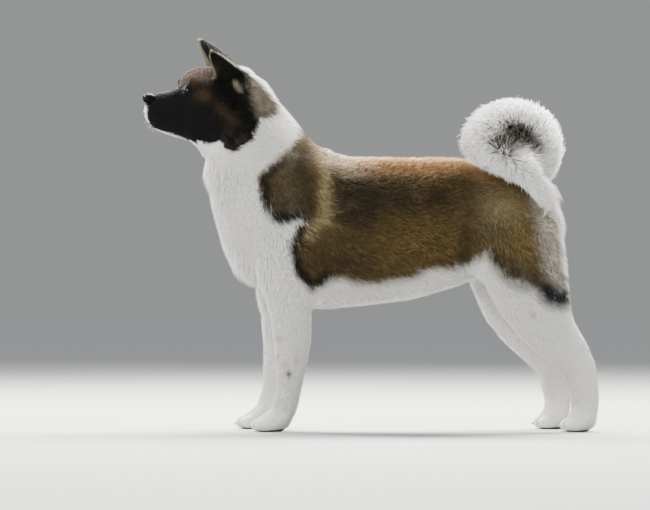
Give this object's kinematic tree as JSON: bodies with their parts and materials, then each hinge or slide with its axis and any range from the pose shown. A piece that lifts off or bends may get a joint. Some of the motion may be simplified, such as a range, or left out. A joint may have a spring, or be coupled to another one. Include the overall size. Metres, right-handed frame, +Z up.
{
  "type": "dog",
  "caption": "Still life-size model of a young spitz-type dog standing with its head up, ears pricked and tail curled over its back.",
  "frame": {"origin": "on the floor, under the middle of the dog's bounding box", "axes": "+X towards the tail (the dog faces -X), +Y towards the dog's right side, +Z up"},
  "size_m": [0.9064, 0.2384, 0.7853],
  "materials": {
    "coat_white": "dense white fur",
    "coat_brown": "brown and fawn fur with dark tips",
    "coat_dark": "short near-black fur",
    "nose_leather": "black, moist, finely pebbled",
    "eye_glass": "dark brown, wet-looking",
    "claw_horn": "smooth dark horn"
  },
  "bodies": {
    "root": {"head": "coat_dark", "lower_jaw": "coat_dark", "ear_left": "coat_dark", "eye_left": "eye_glass", "ear_right": "coat_dark", "eye_right": "eye_glass", "nose": "nose_leather", "neck": "coat_white", "chest": "coat_brown", "loin": "coat_brown", "croup": "coat_brown", "shoulder_left": "coat_white", "thigh_left": "coat_brown", "front_left_forearm": "coat_white", "front_left_pastern": "coat_white", "front_left_paw": "coat_white", "front_left_claw_1": "claw_horn", "front_left_claw_2": "claw_horn", "front_left_claw_3": "claw_horn", "front_left_claw_4": "claw_horn", "hind_left_lower_leg": "coat_white", "hind_left_pastern": "coat_white", "hind_left_paw": "coat_white", "hind_left_claw_1": "claw_horn", "hind_left_claw_2": "claw_horn", "hind_left_claw_3": "claw_horn", "hind_left_claw_4": "claw_horn", "shoulder_right": "coat_white", "thigh_right": "coat_brown", "front_right_forearm": "coat_white", "front_right_pastern": "coat_white", "front_right_paw": "coat_white", "front_right_claw_1": "claw_horn", "front_right_claw_2": "claw_horn", "front_right_claw_3": "claw_horn", "front_right_claw_4": "claw_horn", "hind_right_lower_leg": "coat_white", "hind_right_pastern": "coat_white", "hind_right_paw": "coat_white", "hind_right_claw_1": "claw_horn", "hind_right_claw_2": "claw_horn", "hind_right_claw_3": "claw_horn", "hind_right_claw_4": "claw_horn", "tail_1": "coat_white", "tail_2": "coat_white", "tail_3": "coat_white", "tail_4": "coat_white", "tail_5": "coat_white"}
  },
  "joints": []
}
